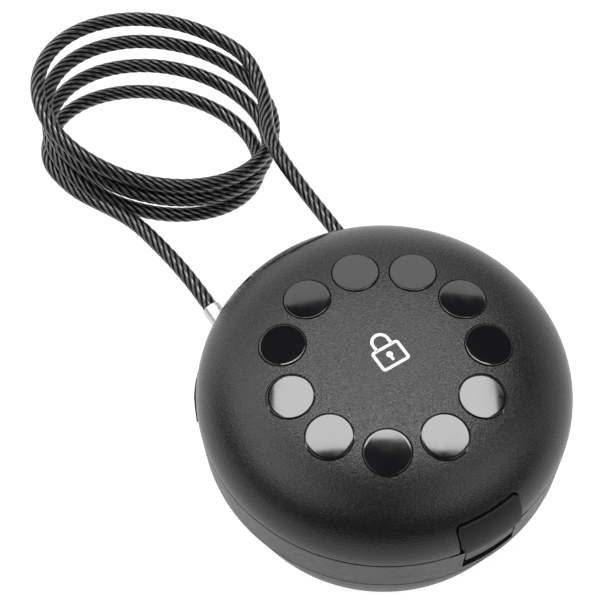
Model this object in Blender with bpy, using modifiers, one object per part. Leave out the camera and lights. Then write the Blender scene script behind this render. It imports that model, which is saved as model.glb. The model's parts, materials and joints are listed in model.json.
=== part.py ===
"""Portable keypad key safe on a coiled steel cable, modelled piece by piece.

Metres, +Z up. The origin is the middle of the underside. The release tab faces -Y, the hinge and the cable +Y.
Sizes are written in millimetres times MM.
"""

from math import atan, cos, pi, radians, sin, sqrt

import bmesh
import bpy
from mathutils import Matrix, Vector

MM = 0.001
GAP = 0.3 * MM                      # air between two pieces that touch on the real object

# Case
RADIUS = 55 * MM
CROWN_Z = 60 * MM
LID_EDGE_Z = 38.5 * MM
BASE_TOP_Z = 38.1 * MM
BAND_LOW_Z = 22.3 * MM
BAND_LOW_R = 54 * MM
WALL = 2.2 * MM
RIM_Z = 36 * MM                     # shelf inside the base's rim
TUB_R = 42.5 * MM                   # key compartment
TUB_FLOOR_Z = 6.8 * MM
BOSS_R = 2.4 * MM
COVER_TOP_R = 53.2 * MM
SCREW_RING_R = 41 * MM
COVER_LOW_Z = 1.3 * MM
ROUND_STEPS = 64

# Keypad
BUTTON_COUNT = 11
BUTTON_RING_R = 29.7 * MM
BUTTON_R = 6.7 * MM
BUTTON_HOLE_R = 7.05 * MM
BUTTON_TRAVEL = 0.5 * MM

# Lid hinge
SEAM_Y = 48.7 * MM                  # flat rear face of the lid
HINGE_Y = 49 * MM
HINGE_Z = 48.2 * MM
BARREL_R = 3.2 * MM
BARREL_HALF = 12.5 * MM
LUG_R = 1.7 * MM
LUG_END = 15.1 * MM
HINGE_PIN_R = 0.75 * MM
HINGE_BORE_R = 0.95 * MM

# Release tab
TAB_HALF = 10.2 * MM
TAB_TOP_Z = 48.7 * MM
LIP_HALF = 8.2 * MM
LIP_LOW_Z = 30.9 * MM
LIP_FRONT_Y = -54.3 * MM
TAB_PIVOT_Y = -48.3 * MM
TAB_PIVOT_Z = 46.4 * MM
NOTCH_HALF = 8.7 * MM
NOTCH_LOW_Z = 25.6 * MM
NOTCH_BACK_Y = -48.9 * MM

# Lock bolt and its pinion, in a housing under the lid
BOLT_HALF = 2.4 * MM
BOLT_LOW_Z = 30.4 * MM
BOLT_HIGH_Z = 33.6 * MM
BOLT_TIP_Y = -40.6 * MM
BOLT_TAIL_Y = -28.9 * MM
TOOTH_COUNT = 10
TOOTH_MODULE = 0.6 * MM
PINION_Y = -33.5 * MM

# Cable
CABLE_R = 2.4 * MM
CABLE_X = 24 * MM
CABLE_Z = 24 * MM
FERRULE_R = 3 * MM
FERRULE_TIP_Y = 59.9 * MM
LEFT_LEG = [(-24, 60.2, 24), (-24.1, 67, 24.2), (-24.5, 75, 24.5), (-25.6, 84, 24.7), (-27.7, 97.3, 24.7)]
RIGHT_LEG = [(24, 60.2, 24), (23.9, 67, 24.3), (23.7, 75, 24.4), (23.7, 84, 24.2), (24.6, 99.3, 23.6)]
COIL_CENTRE = (-1.3 * MM, 131 * MM, 22.6 * MM)
COIL_R = 34 * MM
COIL_HALF_WIDE = 6.2 * MM
COIL_HALF_HIGH = 10.2 * MM
COIL_OVAL = 1.08
COIL_SIDE_TILT = radians(17)
COIL_FAR_TILT = radians(3)

# Emergency power port at the rear left
PORT_ANGLE = radians(144)
PORT_R = 54.9 * MM
PORT_LOW_Z = 24.6 * MM
PORT_HIGH_Z = 36 * MM

COLOURS = {                         # base colour, roughness, metallic
    "lid_plastic": ((0.045, 0.045, 0.048), 0.62, 0.0),
    "base_plastic": ((0.036, 0.036, 0.038), 0.6, 0.0),
    "soft_plastic": ((0.018, 0.018, 0.019), 0.75, 0.0),
    "button_gloss": ((0.008, 0.008, 0.009), 0.12, 0.0),
    "rubber": ((0.02, 0.02, 0.02), 0.85, 0.0),
    "steel": ((0.6, 0.6, 0.6), 0.3, 1.0),
    "cable_sheath": ((0.03, 0.03, 0.033), 0.25, 0.0),
    "inner_plastic": ((0.09, 0.09, 0.095), 0.6, 0.0),
    "board": ((0.02, 0.12, 0.05), 0.5, 0.0),
    "battery": ((0.35, 0.22, 0.05), 0.35, 0.3),
    "brass": ((0.7, 0.5, 0.2), 0.3, 1.0),
    "felt": ((0.06, 0.06, 0.065), 0.95, 0.0),
    "silicone": ((0.5, 0.5, 0.48), 0.7, 0.0),
}


# ---------------------------------------------------------------- helpers

def new_collection(name):
    collection = bpy.data.collections.new(name)
    bpy.context.scene.collection.children.link(collection)
    return collection


for leftover in list(bpy.data.objects):
    bpy.data.objects.remove(leftover, do_unlink=True)
PARTS = new_collection("keypad_key_safe")
CUTTERS = new_collection("cutters")
MATERIALS = {}


def material(name):
    """The Principled material of one of the COLOURS."""
    if name not in MATERIALS:
        colour, roughness, metallic = COLOURS[name]
        made = bpy.data.materials.new(name)
        made.use_nodes = True
        shader = made.node_tree.nodes["Principled BSDF"]
        shader.inputs["Base Color"].default_value = (*colour, 1.0)
        shader.inputs["Roughness"].default_value = roughness
        shader.inputs["Metallic"].default_value = metallic
        made.diffuse_color = (*colour, 1.0)
        MATERIALS[name] = made
    return MATERIALS[name]


def add_object(name, mesh, finish=None):
    """Links a mesh as a part with a finish, or as a hidden cutter without one."""
    thing = bpy.data.objects.new(name, mesh)
    if finish is None:
        CUTTERS.objects.link(thing)
        thing.hide_render = True
        thing.display_type = "WIRE"
    else:
        PARTS.objects.link(thing)
        mesh.materials.append(material(finish))
        mesh.shade_smooth()
        mesh.set_sharp_from_angle(angle=radians(35))
    return thing


def bmesh_object(name, bm, finish=None):
    mesh = bpy.data.meshes.new(name)
    bm.to_mesh(mesh)
    bm.free()
    return add_object(name, mesh, finish)


def box(name, low, high, finish=None, bevel=0.0):
    """A box between two corners, with an optional edge bevel."""
    bm = bmesh.new()
    size = [b - a for a, b in zip(low, high)]
    middle = [(a + b) / 2 for a, b in zip(low, high)]
    bmesh.ops.create_cube(bm, size=1.0, matrix=Matrix.Translation(middle) @ Matrix.Diagonal((*size, 1)))
    thing = bmesh_object(name, bm, finish)
    if bevel:
        rounding = thing.modifiers.new("edges", "BEVEL")
        rounding.width = bevel
        rounding.segments = 1
        rounding.limit_method = "ANGLE"
    return thing


def rod(name, start, end, radius, finish=None, sides=24):
    """A cylinder from one point to another."""
    start, end = Vector(start), Vector(end)
    along = end - start
    turn = along.to_track_quat("Z", "Y").to_matrix().to_4x4()
    bm = bmesh.new()
    bmesh.ops.create_cone(bm, cap_ends=True, segments=sides, radius1=radius, radius2=radius,
                          depth=along.length, matrix=Matrix.Translation((start + end) / 2) @ turn)
    return bmesh_object(name, bm, finish)


def turned(name, profile, finish=None, steps=ROUND_STEPS):
    """A shape turned about Z from a profile that runs down its outer side."""
    mesh = bpy.data.meshes.new(name)
    points = [(r, 0.0, z) for r, z in profile]
    closed = profile[0][0] > 0
    edges = [(i, i + 1) for i in range(len(points) - 1)]
    if closed:
        edges.append((len(points) - 1, 0))
    mesh.from_pydata(points, edges, [])
    thing = add_object(name, mesh, finish)
    screw = thing.modifiers.new("turn", "SCREW")
    screw.steps = steps
    screw.render_steps = steps
    screw.use_merge_vertices = True
    screw.merge_threshold = 0.00001
    screw.use_normal_calculate = False
    return thing


def combine(target, other, operation):
    """Cuts, joins or intersects a part with a cutter."""
    step = target.modifiers.new(operation.lower(), "BOOLEAN")
    step.operation = operation
    step.solver = "EXACT"
    step.object = other
    return target


def cut(target, *cutters):
    for cutter in cutters:
        combine(target, cutter, "DIFFERENCE")
    return target


def join(target, *others):
    for other in others:
        combine(target, other, "UNION")
    return target


def at_angle(angle, radius, z=0.0):
    return Vector((radius * cos(angle), radius * sin(angle), z))


def dome_profile(radius, edge_z, height, count):
    """Points down a dome that is nearly flat on top and vertical at its edge."""
    points = []
    for i in range(count + 1):
        t = pi / 2 * i / count
        points.append((radius * sqrt(sin(t)), edge_z + height * cos(t)))
    points[-1] = (radius, edge_z)
    return points


def dome_z(radius):
    return LID_EDGE_Z + (CROWN_Z - LID_EDGE_Z) * sqrt(1 - (radius / RADIUS) ** 4)


def dome_solid(name, finish=None, count=10):
    return turned(name, dome_profile(RADIUS, LID_EDGE_Z, CROWN_Z - LID_EDGE_Z, count) + [(0, LID_EDGE_Z)], finish)


# ---------------------------------------------------------------- base

def make_base_band():
    """Outer band of the base, with a notch for the release tab and a boss round each cable end."""
    band = turned("base_band", [
        (52 * MM, BASE_TOP_Z), (54.6 * MM, BASE_TOP_Z), (RADIUS, BASE_TOP_Z - 0.4 * MM), (BAND_LOW_R, BAND_LOW_Z),
        (51.9 * MM, BAND_LOW_Z)], "base_plastic")
    join(band, box("notch_wall", (-13 * MM, NOTCH_BACK_Y - 3 * MM, 23 * MM), (13 * MM, -46.6 * MM, 33.1 * MM)))
    cut(band, box("notch", (-NOTCH_HALF, -60 * MM, NOTCH_LOW_Z), (NOTCH_HALF, NOTCH_BACK_Y, 45 * MM)))
    for side in (-1, 1):
        join(band, cable_rod("cable_boss", side, 44.6 * MM, 48.9 * MM, 4.9 * MM))
        cut(band, cable_rod("cable_hole", side, 43 * MM, 60 * MM, 3.9 * MM))
    cut(band, port_box("port_pocket", 53.5 * MM, 60 * MM, 6.9 * MM, PORT_LOW_Z - 0.9 * MM, PORT_HIGH_Z + 0.3 * MM),
        port_box("port_hole", 49 * MM, 56 * MM, 4.9 * MM, 27.2 * MM, 33.2 * MM))


def make_key_tub():
    """Wall of the key compartment, the shelf inside the band's rim, and the floor plate between the screw bosses."""
    tub = turned("key_tub", [
        (TUB_R, RIM_Z), (51.6 * MM, RIM_Z), (51.6 * MM, 33.4 * MM), (TUB_R + 1.5 * MM, 33.4 * MM),
        (TUB_R + 1.5 * MM, 5.2 * MM), (TUB_R, 5.2 * MM)], "base_plastic")
    plate = turned("compartment_floor", [
        (0, TUB_FLOOR_Z), (TUB_R - GAP, TUB_FLOOR_Z), (TUB_R - GAP, 3.9 * MM), (0, 3.9 * MM)], "base_plastic")
    for i in range(4):
        foot = at_angle(radians(45 + 90 * i), SCREW_RING_R)
        cut(plate, rod(f"boss_notch_{i}", foot, foot + Vector((0, 0, 12 * MM)), BOSS_R + GAP))
        join(tub, rod(f"boss_{i}", foot + Vector((0, 0, 3.9 * MM)), foot + Vector((0, 0, 11 * MM)), BOSS_R))
        cut(tub, rod(f"boss_bore_{i}", foot + Vector((0, 0, 2 * MM)), foot + Vector((0, 0, 9.6 * MM)), 1.25 * MM))
    shelf_end = box("shelf_end", (-13.4 * MM, -60 * MM, 32 * MM), (13.4 * MM, NOTCH_BACK_Y + GAP, 45 * MM))
    window = box("bolt_window", (-3.6 * MM, -44.2 * MM, 29.8 * MM), (4.4 * MM, -41.5 * MM, 34.2 * MM))
    return cut(tub, shelf_end, window, cable_rod("release_hole", 1, 30 * MM, 39.5 * MM, 3.4 * MM))


def cable_rod(name, side, near, far, radius):
    return rod(name, (side * CABLE_X, near, CABLE_Z), (side * CABLE_X, far, CABLE_Z), radius, sides=32)


def port_box(name, near, far, half, low, high, finish=None, bevel=0.0):
    """A box set radially at the power port's angle."""
    thing = box(name, (near, -half, low), (far, half, high), finish, bevel)
    thing.data.transform(Matrix.Rotation(PORT_ANGLE, 4, "Z"))
    return thing


def make_bottom_cover():
    cover = turned("bottom_cover", [
        (0, 3.6 * MM), (44.9 * MM, 3.6 * MM), (51.3 * MM, 21.9 * MM), (COVER_TOP_R - 0.3 * MM, 21.9 * MM),
        (COVER_TOP_R, 21.4 * MM), (50.8 * MM, 12 * MM), (48.1 * MM, 3.4 * MM), (46.8 * MM, 1.6 * MM),
        (45.8 * MM, COVER_LOW_Z), (0, COVER_LOW_Z)], "soft_plastic")
    for i in range(4):
        foot = at_angle(radians(45 + 90 * i), SCREW_RING_R)
        seat = rod(f"seat_{i}", foot, foot + Vector((0, 0, 2.6 * MM)), 2.6 * MM)
        hole = rod(f"screw_hole_{i}", foot, foot + Vector((0, 0, 6 * MM)), 1.3 * MM)
        cut(cover, seat, hole)
    for side in (-1, 1):
        cut(cover, cable_rod("cover_notch", side, 38 * MM, 60 * MM, 5.2 * MM))
    return cover


def make_base_fittings():
    turned("foot_ring", [(26 * MM, 1 * MM), (35.5 * MM, 1 * MM), (36 * MM, 0.5 * MM), (36 * MM, 0),
                         (26 * MM, 0)], "rubber", 48)
    turned("compartment_liner", [(0, 8.2 * MM), (37.9 * MM, 8.2 * MM), (38.2 * MM, 7.1 * MM),
                                 (0, 7.1 * MM)], "felt", 48)
    turned("rim_seal", [(46.2 * MM, 37.7 * MM), (47.1 * MM, 38.1 * MM), (48 * MM, 37.7 * MM),
                        (48 * MM, 36.3 * MM), (46.2 * MM, 36.3 * MM)], "rubber", 48)
    for i in range(4):
        foot = at_angle(radians(45 + 90 * i), SCREW_RING_R)
        screw = turned(f"bottom_screw_{i + 1}", [
            (0, 9 * MM), (0.7 * MM, 9 * MM), (1 * MM, 8.4 * MM), (1 * MM, 2.4 * MM), (2.3 * MM, 2.4 * MM),
            (2.3 * MM, 1.7 * MM), (1.9 * MM, 1.4 * MM), (0, 1.4 * MM)], "steel", 20)
        screw.location = foot
    strike = box("bolt_strike", (-5.6 * MM, -45.1 * MM, 28.8 * MM), (6.4 * MM, -44.3 * MM, 33.1 * MM), "steel")
    box("tab_strike", (-6 * MM, NOTCH_BACK_Y - 0.8 * MM, 34.6 * MM),
        (6 * MM, NOTCH_BACK_Y - GAP, 37.6 * MM), "steel", 0.15 * MM)
    port_box("power_port", 49.6 * MM, 53 * MM, 4.5 * MM, 27.6 * MM, 32.8 * MM, "steel", 0.4 * MM)
    return strike


def make_hinge_block():
    """Rear piece of the dome that stays on the base and carries the hinge pin in two lugs."""
    block = dome_solid("hinge_block", "base_plastic")
    keep = box("block_keep", (-70 * MM, SEAM_Y + 0.4 * MM, 20 * MM), (70 * MM, 70 * MM, 70 * MM))
    cut(keep, hinge_rod("barrel_relief", -12.8 * MM, 12.8 * MM, BARREL_R + GAP, 32))
    for side in (-1, 1):
        near, far = sorted((side * 12.8 * MM, side * LUG_END))
        cut(keep, hinge_rod("edge_relief", side * LUG_END, side * 24 * MM, 1.5 * MM, 24))
        join(keep, hinge_rod("lug", near, far, LUG_R, 24))
    combine(block, keep, "INTERSECT")
    cut(block, hinge_rod("block_bore", -14.9 * MM, 14.9 * MM, HINGE_BORE_R, 16))
    hinge_rod("hinge_pin", -14.6 * MM, 14.6 * MM, HINGE_PIN_R, 16, "steel")


def hinge_rod(name, start_x, end_x, radius, sides, finish=None):
    return rod(name, (start_x, HINGE_Y, HINGE_Z), (end_x, HINGE_Y, HINGE_Z), radius, finish, sides)


# ---------------------------------------------------------------- lid

def button_frame(index):
    """Place of a button: its Z axis is square to the dome there."""
    angle = radians(-90) + 2 * pi * index / BUTTON_COUNT
    share = BUTTON_RING_R / RADIUS
    slope = 2 * (CROWN_Z - LID_EDGE_Z) * share ** 3 / (RADIUS * sqrt(1 - share ** 4))
    place = at_angle(angle, BUTTON_RING_R, dome_z(BUTTON_RING_R))
    return Matrix.Translation(place) @ Matrix.Rotation(angle, 4, "Z") @ Matrix.Rotation(atan(slope), 4, "Y")


def make_lid_shell():
    """Domed lid with a flat rear face, its hinge barrel, the button holes and the tab's window."""
    shell = dome_solid("lid_shell", "lid_plastic", 12)
    keep = box("lid_keep", (-70 * MM, -70 * MM, 20 * MM), (70 * MM, SEAM_Y, 70 * MM))
    barrel = rod("barrel", (-BARREL_HALF, HINGE_Y, HINGE_Z), (BARREL_HALF, HINGE_Y, HINGE_Z), BARREL_R, sides=32)
    join(keep, barrel)
    combine(shell, keep, "INTERSECT")
    hollow = turned("lid_hollow", dome_profile(RADIUS - WALL, LID_EDGE_Z, CROWN_Z - LID_EDGE_Z - WALL, 8)
                    + [(RADIUS - WALL, 30 * MM), (0, 30 * MM)])
    cut(hollow, box("hollow_end", (-70 * MM, SEAM_Y - 1.8 * MM, 20 * MM), (70 * MM, 70 * MM, 70 * MM)))
    cut(shell, hollow)
    for i, angle in enumerate((25, 155, 215, 325)):
        place = at_angle(radians(angle), 43 * MM)
        post = rod(f"post_{i}", place + Vector((0, 0, 41.1 * MM)), place + Vector((0, 0, 53.6 * MM)), 2.4 * MM)
        bore = rod(f"post_bore_{i}", place + Vector((0, 0, 38 * MM)), place + Vector((0, 0, 48 * MM)), 1.25 * MM,
                   sides=16)
        join(shell, post)
        cut(shell, bore)
    for side in (-1, 1):
        ear = box("tab_ear", (min(side * 10.9, side * 13.2) * MM, -49.6 * MM, 44.4 * MM),
                  (max(side * 10.9, side * 13.2) * MM, -46.6 * MM, 48.2 * MM))
        join(shell, ear)
        cut(shell, rod("lug_relief", (side * BARREL_HALF, HINGE_Y, HINGE_Z), (side * 15.5 * MM, HINGE_Y, HINGE_Z),
                       2.1 * MM))
    cut(shell, rod("lid_bore", (-20 * MM, HINGE_Y, HINGE_Z), (20 * MM, HINGE_Y, HINGE_Z), HINGE_BORE_R, sides=16))
    cut(shell, rod("tab_bore", (-12.4 * MM, TAB_PIVOT_Y, TAB_PIVOT_Z), (12.4 * MM, TAB_PIVOT_Y, TAB_PIVOT_Z),
                   1.05 * MM, sides=16))
    cut(shell, box("tab_window", (-10.6 * MM, -70 * MM, 30 * MM), (10.6 * MM, -45 * MM, TAB_TOP_Z + 0.65 * MM)))
    for i in range(BUTTON_COUNT):
        hole = rod(f"button_hole_{i + 1}", (0, 0, -6 * MM), (0, 0, 3 * MM), BUTTON_HOLE_R)
        hole.data.transform(button_frame(i))
        cut(shell, hole)
    return shell


def make_buttons():
    for i in range(BUTTON_COUNT):
        button = turned(f"button_{i + 1}", [
            (0, 0.45 * MM), (4.6 * MM, 0.36 * MM), (BUTTON_R, -0.1 * MM), (BUTTON_R, -3 * MM), (7.8 * MM, -3 * MM),
            (7.8 * MM, -3.6 * MM), (0, -3.6 * MM)], "button_gloss", 24)
        button.matrix_world = button_frame(i)


def make_lid_fittings():
    liner = turned("lid_liner", [(0, 40.8 * MM), (51 * MM, 40.8 * MM), (51 * MM, 39.2 * MM), (0, 39.2 * MM)],
                   "inner_plastic")
    cut(liner, box("liner_back", (-60 * MM, SEAM_Y - 2.2 * MM, 30 * MM), (60 * MM, 60 * MM, 50 * MM)),
        box("battery_hatch", (-24.3 * MM, -22.3 * MM, 30 * MM), (24.3 * MM, 12.3 * MM, 50 * MM)),
        rod("shaft_hole", (5.4 * MM, PINION_Y, 30 * MM), (5.4 * MM, PINION_Y, 50 * MM), 1.6 * MM))
    for i, angle in enumerate((25, 155, 215, 325)):
        place = at_angle(radians(angle), 43 * MM)
        cut(liner, rod(f"liner_hole_{i}", place + Vector((0, 0, 30 * MM)), place + Vector((0, 0, 45 * MM)),
                       1.3 * MM, sides=16))
        screw = turned(f"lid_screw_{i + 1}", [
            (0, 47 * MM), (0.7 * MM, 47 * MM), (1 * MM, 46.4 * MM), (1 * MM, 38.9 * MM), (2.3 * MM, 38.9 * MM),
            (2.3 * MM, 38.2 * MM), (1.9 * MM, 37.9 * MM), (0, 37.9 * MM)], "steel", 20)
        screw.location = place
    box("battery_door", (-24 * MM, -22 * MM, 39.2 * MM), (24 * MM, 12 * MM, 40.6 * MM), "inner_plastic", 0.3 * MM)
    turned("circuit_board", [(0, 52.6 * MM), (38 * MM, 52.6 * MM), (38 * MM, 51.4 * MM), (0, 51.4 * MM)],
           "board", 48)
    turned("keypad_membrane", [(21 * MM, 53.6 * MM), (36.8 * MM, 53.6 * MM), (36.8 * MM, 52.9 * MM),
                               (21 * MM, 52.9 * MM)], "silicone", 48)
    for i in range(3):
        y = (6.4 - 11.2 * i) * MM
        cell = turned(f"battery_{i + 1}", [
            (0, 22.3 * MM), (1.9 * MM, 22.3 * MM), (1.9 * MM, 21.4 * MM), (5 * MM, 21.4 * MM),
            (5 * MM, -22 * MM), (0, -22 * MM)], "battery", 24)
        cell.matrix_world = Matrix.Translation((0, y, 46.1 * MM)) @ Matrix.Rotation(radians(90), 4, "Y")


# ---------------------------------------------------------------- release tab

def make_release_tab():
    """Pull tab on the lid's front edge: a pad that follows the dome, a lip under it and a pivot barrel."""
    proud = 0.5 * MM
    outline = [(min(r + proud, RADIUS), z + proud / 2)
               for r, z in dome_profile(RADIUS, LID_EDGE_Z - 0.2 * MM, CROWN_Z - LID_EDGE_Z, 14)]
    tab = turned("release_tab", outline + [(RADIUS, 38.2 * MM), (0, 38.2 * MM)], "soft_plastic", 128)
    pad = box("tab_keep", (-TAB_HALF, -70 * MM, 38.4 * MM), (TAB_HALF, -48 * MM, TAB_TOP_Z))
    combine(tab, pad, "INTERSECT")
    inner = turned("tab_hollow", dome_profile(RADIUS - 2 * MM, 37 * MM, 20.4 * MM, 10) + [(0, 37 * MM)])
    cut(tab, inner)
    lip = box("lip", (-LIP_HALF, LIP_FRONT_Y, LIP_LOW_Z), (LIP_HALF, LIP_FRONT_Y + 2.6 * MM, 40 * MM))
    neck = box("neck", (-5.6 * MM, -51.6 * MM, 45.3 * MM), (5.6 * MM, TAB_PIVOT_Y, 47.5 * MM))
    tooth = box("tooth", (-5 * MM, -52.4 * MM, 32.4 * MM), (5 * MM, NOTCH_BACK_Y - 1.1 * MM, 34.2 * MM))
    barrel = rod("tab_barrel", (-5.6 * MM, TAB_PIVOT_Y, TAB_PIVOT_Z), (5.6 * MM, TAB_PIVOT_Y, TAB_PIVOT_Z),
                 1.8 * MM)
    join(tab, lip, neck, tooth, barrel)
    cut(tab, rod("spring_pocket", (5.65 * MM, TAB_PIVOT_Y, TAB_PIVOT_Z), (9.6 * MM, TAB_PIVOT_Y, TAB_PIVOT_Z),
                 2 * MM))
    cut(tab, rod("tab_pin_bore", (-20 * MM, TAB_PIVOT_Y, TAB_PIVOT_Z), (20 * MM, TAB_PIVOT_Y, TAB_PIVOT_Z),
                 1.05 * MM, sides=16))
    rod("tab_pin", (-12.2 * MM, TAB_PIVOT_Y, TAB_PIVOT_Z), (12.2 * MM, TAB_PIVOT_Y, TAB_PIVOT_Z), 0.8 * MM,
        "steel", 16)
    spring = turned("tab_spring", [(1.1 * MM, 1.7 * MM), (1.65 * MM, 1.7 * MM), (1.65 * MM, -1.7 * MM),
                                   (1.1 * MM, -1.7 * MM)], "steel", 20)
    spring.matrix_world = (Matrix.Translation((7.6 * MM, TAB_PIVOT_Y, TAB_PIVOT_Z))
                           @ Matrix.Rotation(radians(90), 4, "Y"))
    return tab


# ---------------------------------------------------------------- lock

def make_lock():
    """Motor, pinion and sliding bolt in a housing under the lid's liner."""
    pitch_r = TOOTH_COUNT * TOOTH_MODULE / 2
    pinion_x = BOLT_HALF + pitch_r
    tooth_pitch = pi * TOOTH_MODULE
    housing = box("latch_housing", (-6 * MM, -39 * MM, 28.8 * MM), (11 * MM, -26.8 * MM, 38.9 * MM),
                  "inner_plastic", 0.4 * MM)
    cut(housing,
        box("bolt_channel", (-2.7 * MM, -45 * MM, 30.1 * MM), (3.3 * MM, -28 * MM, 45 * MM)),
        rod("pinion_pocket", (pinion_x, PINION_Y, 30.1 * MM), (pinion_x, PINION_Y, 45 * MM), 4.1 * MM, sides=32))

    bolt = box("lock_bolt", (-BOLT_HALF, BOLT_TIP_Y, BOLT_LOW_Z), (BOLT_HALF - 0.5 * MM, BOLT_TAIL_Y, BOLT_HIGH_Z),
               "steel")
    for i in range(-3, 2):
        middle = PINION_Y + (i + 0.5) * tooth_pitch
        join(bolt, rack_tooth(f"rack_tooth_{i + 3}", middle, tooth_pitch))

    pinion = spur_gear("drive_pinion", pinion_x, pitch_r, tooth_pitch)
    join(pinion, rod("pinion_shaft", (pinion_x, PINION_Y, BOLT_HIGH_Z - 1 * MM), (pinion_x, PINION_Y, 40.9 * MM), 1.1 * MM,
                     sides=20))
    turned("lock_motor", [(0, 50.9 * MM), (3.2 * MM, 50.9 * MM), (4 * MM, 50.2 * MM), (4 * MM, 41.3 * MM),
                          (0, 41.3 * MM)], "steel", 24).location = (pinion_x, PINION_Y, 0)


def rack_tooth(name, middle, tooth_pitch):
    """One tooth on the bolt's side, a prism with sloping flanks."""
    root, tip = 0.28 * tooth_pitch, 0.1 * tooth_pitch
    outline = [(BOLT_HALF - 1 * MM, middle - root), (BOLT_HALF - 0.6 * MM, middle - root),
               (BOLT_HALF + 0.45 * MM, middle - tip), (BOLT_HALF + 0.45 * MM, middle + tip),
               (BOLT_HALF - 0.6 * MM, middle + root), (BOLT_HALF - 1 * MM, middle + root)]
    return prism(name, outline, BOLT_LOW_Z + 0.4 * MM, BOLT_HIGH_Z - 0.4 * MM)


def spur_gear(name, centre_x, pitch_r, tooth_pitch):
    """The pinion's toothed disc: a tooth gap faces the rack's tooth at rest."""
    root_r, tip_r = pitch_r - 0.75 * MM, pitch_r + 0.45 * MM
    outline = []
    for i in range(TOOTH_COUNT):
        middle = pi + 2 * pi * i / TOOTH_COUNT
        root, tip = 0.26 * tooth_pitch / root_r, 0.09 * tooth_pitch / tip_r
        for angle, radius in ((-root, root_r), (-tip, tip_r), (tip, tip_r), (root, root_r)):
            outline.append((centre_x + radius * cos(middle + angle), PINION_Y + radius * sin(middle + angle)))
    return prism(name, outline, BOLT_LOW_Z + 0.2 * MM, BOLT_HIGH_Z - 0.2 * MM, "brass")


def prism(name, outline, low, high, finish=None):
    """A flat outline, counter-clockwise, raised from low to high."""
    bm = bmesh.new()
    face = bm.faces.new([bm.verts.new((x, y, low)) for x, y in outline])
    grown = bmesh.ops.extrude_face_region(bm, geom=[face])
    bmesh.ops.translate(bm, vec=(0, 0, high - low), verts=[v for v in grown["geom"]
                                                           if isinstance(v, bmesh.types.BMVert)])
    bmesh.ops.recalc_face_normals(bm, faces=bm.faces[:])
    return bmesh_object(name, bm, finish)


# ---------------------------------------------------------------- port cover and cable

def make_port_cover():
    """Rubber flap over the emergency power contacts, which swings down about its lower edge."""
    flap = port_box("port_cover", PORT_R - 1 * MM, PORT_R + 1.1 * MM, 6.5 * MM, PORT_LOW_Z, PORT_HIGH_Z, "rubber",
                    0.6 * MM)
    hinge = at_angle(PORT_ANGLE, PORT_R, PORT_LOW_Z + 0.4 * MM)
    flap.data.transform(Matrix.Translation(-hinge))
    flap.location = hinge
    return flap


def make_cable_ends():
    """A bush through the band and a crimped ferrule for each end of the cable."""
    for side, name in ((-1, "left"), (1, "right")):
        bush = turned(f"cable_bush_{name}", [
            (0, 42 * MM), (3.25 * MM, 42 * MM), (3.25 * MM, 49.8 * MM), (3.65 * MM, 49.8 * MM),
            (3.65 * MM, 42.4 * MM), (4.6 * MM, 42.4 * MM), (4.6 * MM, 41 * MM), (0, 41 * MM)], "steel", 24)
        turn = Matrix.Translation((side * CABLE_X, 0, CABLE_Z)) @ Matrix.Rotation(radians(-90), 4, "X")
        bush.matrix_world = turn
        ferrule = turned(f"cable_ferrule_{name}", [
            (0, FERRULE_TIP_Y), (2.6 * MM, FERRULE_TIP_Y), (FERRULE_R, FERRULE_TIP_Y - 0.7 * MM),
            (FERRULE_R, 42.3 * MM), (0, 42.3 * MM)], "steel", 24)
        ferrule.matrix_world = turn
    button = turned("cable_release_button", [
        (0, 40.3 * MM), (4 * MM, 40.3 * MM), (4 * MM, 39.5 * MM), (3 * MM, 39.5 * MM), (3 * MM, 31.4 * MM),
        (2.5 * MM, 30.9 * MM), (0, 30.9 * MM)], "soft_plastic", 24)
    button.matrix_world = Matrix.Translation((CABLE_X, 0, CABLE_Z)) @ Matrix.Rotation(radians(-90), 4, "X")


def smooth_route(points, per_span):
    """Points along a Catmull-Rom curve through the route's own points."""
    points = [Vector(p) * MM for p in points]
    ends = [points[0] * 2 - points[1]] + points + [points[-1] * 2 - points[-2]]
    route = []
    for a, b, c, d in zip(ends, ends[1:], ends[2:], ends[3:]):
        for i in range(per_span):
            t = i / per_span
            route.append(((2 * b) + (c - a) * t + (2 * a - 5 * b + 4 * c - d) * t * t
                          + (3 * b - a - 3 * c + d) * t ** 3) / 2)
    return route + [points[-1]]


def make_cable():
    """The two straight legs as tubes and the coil as one turned ring, tilted as it lies."""
    for name, points in (("cable_leg_left", LEFT_LEG), ("cable_leg_right", RIGHT_LEG)):
        curve = bpy.data.curves.new(name, "CURVE")
        curve.dimensions = "3D"
        curve.bevel_depth = CABLE_R
        curve.bevel_resolution = 2
        curve.use_fill_caps = True
        route = smooth_route(points, 1)
        spline = curve.splines.new("POLY")
        spline.points.add(len(route) - 1)
        for slot, place in zip(spline.points, route):
            slot.co = (*place, 1.0)
        curve.materials.append(material("cable_sheath"))
        PARTS.objects.link(bpy.data.objects.new(name, curve))

    section = []
    for i in range(12):
        t = pi / 2 - 2 * pi * i / 12
        section.append((COIL_R + COIL_HALF_WIDE * cos(t), COIL_HALF_HIGH * sin(t)))
    ring = turned("cable_coil", section, "cable_sheath", 40)
    ring.matrix_world = (Matrix.Translation(COIL_CENTRE) @ Matrix.Rotation(COIL_SIDE_TILT, 4, "Y")
                         @ Matrix.Rotation(COIL_FAR_TILT, 4, "X") @ Matrix.Diagonal((COIL_OVAL, 1, 1, 1)))
    return ring


make_base_band()
make_key_tub()
make_bottom_cover()
make_base_fittings()
make_hinge_block()
make_lid_shell()
make_buttons()
make_lid_fittings()
make_release_tab()
make_lock()
make_port_cover()
make_cable_ends()
make_cable()
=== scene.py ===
"""Studio scene of the keypad key safe: detailed shells, keys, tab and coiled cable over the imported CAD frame."""

import json
from math import asin, atan, cos, hypot, pi, radians, sin, sqrt

import bmesh
import bpy
from mathutils import Matrix, Vector


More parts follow.
